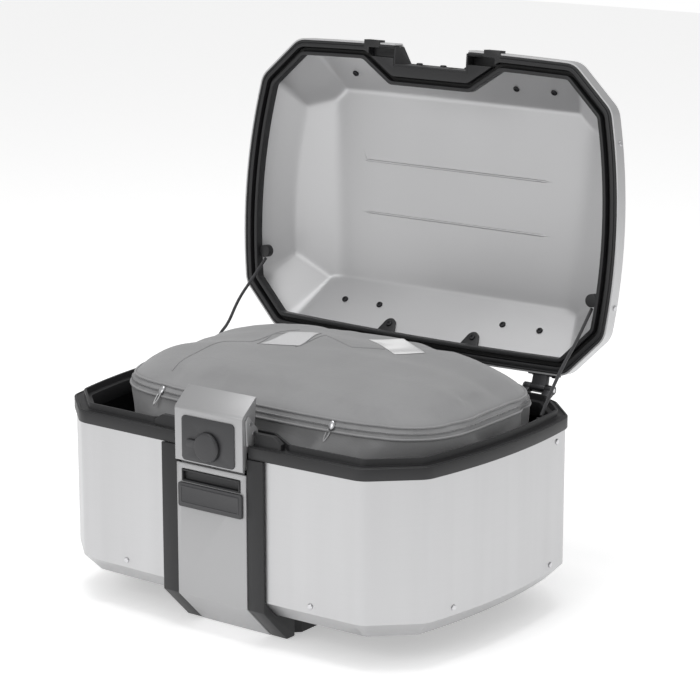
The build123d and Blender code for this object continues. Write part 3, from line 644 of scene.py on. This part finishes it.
def tube(name, points, radius, material, body, closed=False):
    """Round tube through points, as a plain mesh that rides on a body."""
    curve = bpy.data.curves.new(name, "CURVE")
    curve.dimensions = "3D"
    curve.bevel_depth = radius * MM
    curve.bevel_resolution = 2
    curve.use_fill_caps = not closed
    spline = curve.splines.new("POLY")
    spline.points.add(len(points) - 1)
    spline.use_cyclic_u = closed
    for point, where in zip(spline.points, points):
        point.co = (*where, 1)
    made = curve_piece(name, curve)
    made.data.shade_smooth()
    dress(made, material)
    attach(made, body)


PIPING_RADIUS, ZIP_Z, ZIP_RADIUS = 1.7, 257, 1.1
for name, z in (("bag_piping_upper", 263), ("bag_piping_lower", 251)):
    edge = [on_bag(x, y, z, 0.6)[0] for x, y in bag_ring(1.0, 1.0, 0, 240)]
    tube(name, edge, PIPING_RADIUS, woven, "base", closed=True)

zip_tape, tree, shader, place = finish_material("light grey zip tape", {"IOR": 1.5})
tape = node(tree, "ShaderNodeTexWave", {"Scale": 900.0, "Distortion": 0.5}, Vector=place)
lay_finish(tree, shader, ("#7c7c7d", "#a2a2a3"), (0.6, 0.75), tape.outputs["Fac"],
           relief=tape.outputs["Fac"], depth=0.0001, strength=0.5)
coil = [on_bag(x, y, ZIP_Z, 0.3)[0] for x, y in bag_ring(1.0, 1.0, 0, 240)]
tube("bag_zip_tape", coil, ZIP_RADIUS, zip_tape, "base", closed=True)
# the teeth are one small block repeated along the zip at a 2.2 mm pitch, each a little uneven
TOOTH, PITCH = (1.3, 2.6, 2.0), 2.2
teeth_tree = bpy.data.node_groups.new("zip teeth", "GeometryNodeTree")
for label, kind, way in (("Geometry", "NodeSocketGeometry", "INPUT"), ("Count", "NodeSocketInt", "INPUT"),
                         ("Seed", "NodeSocketInt", "INPUT"), ("Geometry", "NodeSocketGeometry", "OUTPUT")):
    teeth_tree.interface.new_socket(name=label, in_out=way, socket_type=kind)
given = node(teeth_tree, "NodeGroupInput")
path = node(teeth_tree, "GeometryNodeMeshToCurve", Mesh=given.outputs["Geometry"])
spaced = node(teeth_tree, "GeometryNodeResampleCurve", Curve=path.outputs["Curve"],
              Count=given.outputs["Count"])
tangent = node(teeth_tree, "GeometryNodeInputTangent")
along = node(teeth_tree, "FunctionNodeAlignRotationToVector", {"axis": "X"},
             Vector=tangent.outputs["Tangent"])
uneven = node(teeth_tree, "FunctionNodeRandomValue", {"data_type": "FLOAT"}, Seed=given.outputs["Seed"])
uneven.inputs[2].default_value, uneven.inputs[3].default_value = 0.92, 1.05
tooth = node(teeth_tree, "GeometryNodeMeshCube", {"Size": [side * MM for side in TOOTH]})
laid = node(teeth_tree, "GeometryNodeInstanceOnPoints", Points=spaced.outputs["Curve"],
            Instance=tooth.outputs["Mesh"], Rotation=along.outputs["Rotation"], Scale=uneven.outputs[1])
real = node(teeth_tree, "GeometryNodeRealizeInstances", Geometry=laid.outputs["Instances"])
painted = node(teeth_tree, "GeometryNodeSetMaterial", {"Material": zip_tape},
               Geometry=real.outputs["Geometry"])
node(teeth_tree, "NodeGroupOutput", Geometry=painted.outputs["Geometry"])
mesh = bpy.data.meshes.new("bag_zip_teeth")
mesh.from_pydata(coil, [(k, (k + 1) % len(coil)) for k in range(len(coil))], [])
teeth = add_piece("bag_zip_teeth", mesh)
repeat = teeth.modifiers.new("teeth", "NODES")
repeat.node_group = teeth_tree
sockets = {item.name: item.identifier for item in teeth_tree.interface.items_tree if item.in_out == "INPUT"}
around = sum((Vector(b) - Vector(a)).length for a, b in zip(coil, coil[1:] + coil[:1])) / MM
repeat[sockets["Count"]] = round(around / PITCH)
repeat[sockets["Seed"]] = 7
settle(teeth)
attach(teeth, "base")


# ---- Seams of the dome ----
# A top-stitched seam crosses the dome on the left, and two more run beside the patches. Each
# shows as a thin raised cord of the bag's own cloth.
SEAM_RADIUS, SEAM_STEPS = 0.9, 8
seams = {
    "bag_seam_left": [(-140, -96), (-136, -58), (-128, -13), (-96, -2), (-86, 46), (-71, 64)],
    "bag_seam_panel": [(-81, -6), (-89, 33), (-60, 50), (-33, 58)],
    "bag_seam_patch": [(-30, 3), (-23, 53), (33, 31), (69, 49)],
}
for name, line in seams.items():
    points = []
    for a, b in zip(line, line[1:]):
        for k in range(SEAM_STEPS):
            t = k / SEAM_STEPS
            points.append(over_bag(a[0] + (b[0] - a[0]) * t, a[1] + (b[1] - a[1]) * t, 0.1)[0])
    points.append(over_bag(*line[-1], 0.1)[0])
    tube(name, points, SEAM_RADIUS, woven, "base")


# ---- Patches on the dome ----
# One patch of pale reflective cloth and one of open mesh, cut with straight sides and sewn flat.
# The mesh shows as a fine white net with the grey cloth in its holes.
PATCH_CUTS, PATCH_LIFT, PATCH_CLOTH = 14, 0.7, 0.6
pale, tree, shader, place = finish_material("pale reflective cloth", {"IOR": 1.5, "Sheen Weight": 0.3})
threads = node(tree, "ShaderNodeTexNoise", {"Scale": 700.0, "Detail": 2.0}, Vector=place)
lay_finish(tree, shader, ("#c0c0c1", "#d2d2d3"), (0.5, 0.62), threads.outputs["Fac"],
           relief=threads.outputs["Fac"], depth=0.0001, strength=0.5)
netted, tree, shader, place = finish_material("white net over grey cloth", {"IOR": 1.5})
holes = node(tree, "ShaderNodeTexVoronoi", {"Scale": 420.0, "Randomness": 0.0}, Vector=place)
hole_edge = node(tree, "ShaderNodeMapRange", {"From Min": 0.28, "From Max": 0.45},
                 Value=holes.outputs["Distance"])
lay_finish(tree, shader, ("#8e8e8f", "#ececec"), (0.7, 0.55), hole_edge.outputs["Result"],
           relief=hole_edge.outputs["Result"], depth=0.0003, strength=0.6)
patches = {
    "bag_patch_pale": (((-78, -5), (-72, 46), (-34, 57), (-27, 8)), pale),
    "bag_patch_mesh": (((27, 74), (59, 101), (114, 67), (89, 40)), netted),
}
for name, (corners, material) in patches.items():
    shape = bmesh.new()
    face = shape.faces.new([shape.verts.new((x, y, 0)) for x, y in corners])
    bmesh.ops.triangulate(shape, faces=[face])
    bmesh.ops.subdivide_edges(shape, edges=shape.edges, cuts=PATCH_CUTS, use_grid_fill=True)
    for vertex in shape.verts:
        vertex.co = over_bag(vertex.co.x, vertex.co.y, PATCH_LIFT)[0]
    bmesh.ops.recalc_face_normals(shape, faces=shape.faces)
    mesh = bpy.data.meshes.new(name)
    shape.to_mesh(mesh)
    shape.free()
    patch = add_piece(name, mesh)
    thick = patch.modifiers.new("cloth", "SOLIDIFY")
    thick.thickness = PATCH_CLOTH * MM
    thick.offset = 0
    settle(patch)
    patch.data.shade_smooth()
    dress(patch, material)
    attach(patch, "base")


# ---- Zip pulls ----
# A die-cast slider on the zip at the left and one at the front, zinc plated, each with a loop
# of thin pale cord that hangs from it.
PULL_WIDTH, PULL_CORD, PULL_STEPS = 2.2, 0.8, 10
SLIDER_HALF = (6, 4.2, 2)
for name, (x, y, z), drop in (("zip_pull_left", (-139, -122, 257), (-3, -12, -16)),
                              ("zip_pull_right", (126, -130, 257), (-9, -4, -20))):
    spot, out = on_bag(x, y, z, 2.2)
    down = Vector(drop) * MM
    across = out.cross(down).normalized() * PULL_WIDTH * MM
    there, back = range(PULL_STEPS + 1), range(PULL_STEPS, -1, -1)
    loop = [spot + across * sin(pi * k / PULL_STEPS) + down * (k / PULL_STEPS) for k in there]
    loop += [spot - across * sin(pi * k / PULL_STEPS) + down * (k / PULL_STEPS) for k in back]
    tube(name + "_loop", loop, PULL_CORD, pale, "base")
    slider = bmesh.new()
    bmesh.ops.create_uvsphere(slider, u_segments=20, v_segments=12, radius=1)
    turn = out.to_track_quat("Z", "X").to_matrix().to_4x4()
    size = Matrix.Diagonal((*(half * MM for half in SLIDER_HALF), 1))
    bmesh.ops.transform(slider, verts=slider.verts, matrix=Matrix.Translation(spot) @ turn @ size)
    mesh = bpy.data.meshes.new(name)
    slider.to_mesh(mesh)
    slider.free()
    slider = add_piece(name, mesh)
    slider.data.shade_smooth()
    dress(slider, zinc)
    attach(slider, "base")


# ---- Studio ----
# A white floor that runs off to a white room, with a large soft light in front, another above
# and a weak one at the right.
FLOOR_GLOW, ROOM_LIGHT = 0.42, 0.5
bpy.ops.mesh.primitive_plane_add(size=12, location=(0, 0, -0.0005))
floor = bpy.context.object
floor.name = "floor"
paper, tree, shader, place = finish_material("white paper", {"Roughness": 0.9, "Specular IOR Level": 0.1})
fibre = node(tree, "ShaderNodeTexNoise", {"Scale": 40.0}, Vector=place)
lay_finish(tree, shader, ("#f6f6f6", "#fafafa"), (0.88, 0.95), fibre.outputs["Fac"])
shader.inputs["Emission Color"].default_value = (1, 1, 1, 1)
shader.inputs["Emission Strength"].default_value = FLOOR_GLOW
dress(floor, paper)

world = bpy.data.worlds.new("studio")
world.use_nodes = True
tree = world.node_tree
room = tree.nodes["Background"]
room.inputs["Color"].default_value = (1, 1, 1, 1)
# the room lights the case softly, while the sweep behind it is lit up to plain white
seen = node(tree, "ShaderNodeLightPath").outputs["Is Camera Ray"]
bright = node(tree, "ShaderNodeMapRange", {"To Min": ROOM_LIGHT, "To Max": 1.0}, Value=seen)
tree.links.new(bright.outputs["Result"], room.inputs["Strength"])
bpy.context.scene.world = world
for name, place, aim, size, power in (("key", (-0.3, -3.0, 1.9), (0, 0, 0.3), 1.6, 22),
                                      ("fill", (2.6, -0.9, 1.2), (0, 0, 0.25), 1.2, 2),
                                      ("top", (-0.1, 0.0, 2.6), (0, 0, 0.2), 1.6, 26)):
    lamp = bpy.data.lights.new(name, "AREA")
    lamp.shape = "SQUARE"
    lamp.size = size
    lamp.energy = power
    light = bpy.data.objects.new(name, lamp)
    light.location = place
    light.rotation_euler = (Vector(aim) - Vector(place)).to_track_quat("-Z", "Y").to_euler()
    bpy.context.scene.collection.objects.link(light)

lens = bpy.data.cameras.new("camera")
lens.lens = 129.3
lens.sensor_width = 36
camera = bpy.data.objects.new("camera", lens)
camera.location = (1.7646, -2.3093, 1.0195)
aim = Vector((0.0534, 0, 0.3113))
camera.rotation_euler = (aim - camera.location).to_track_quat("-Z", "Y").to_euler()
bpy.context.scene.collection.objects.link(camera)
bpy.context.scene.camera = camera
bpy.context.scene.view_settings.view_transform = "Standard"
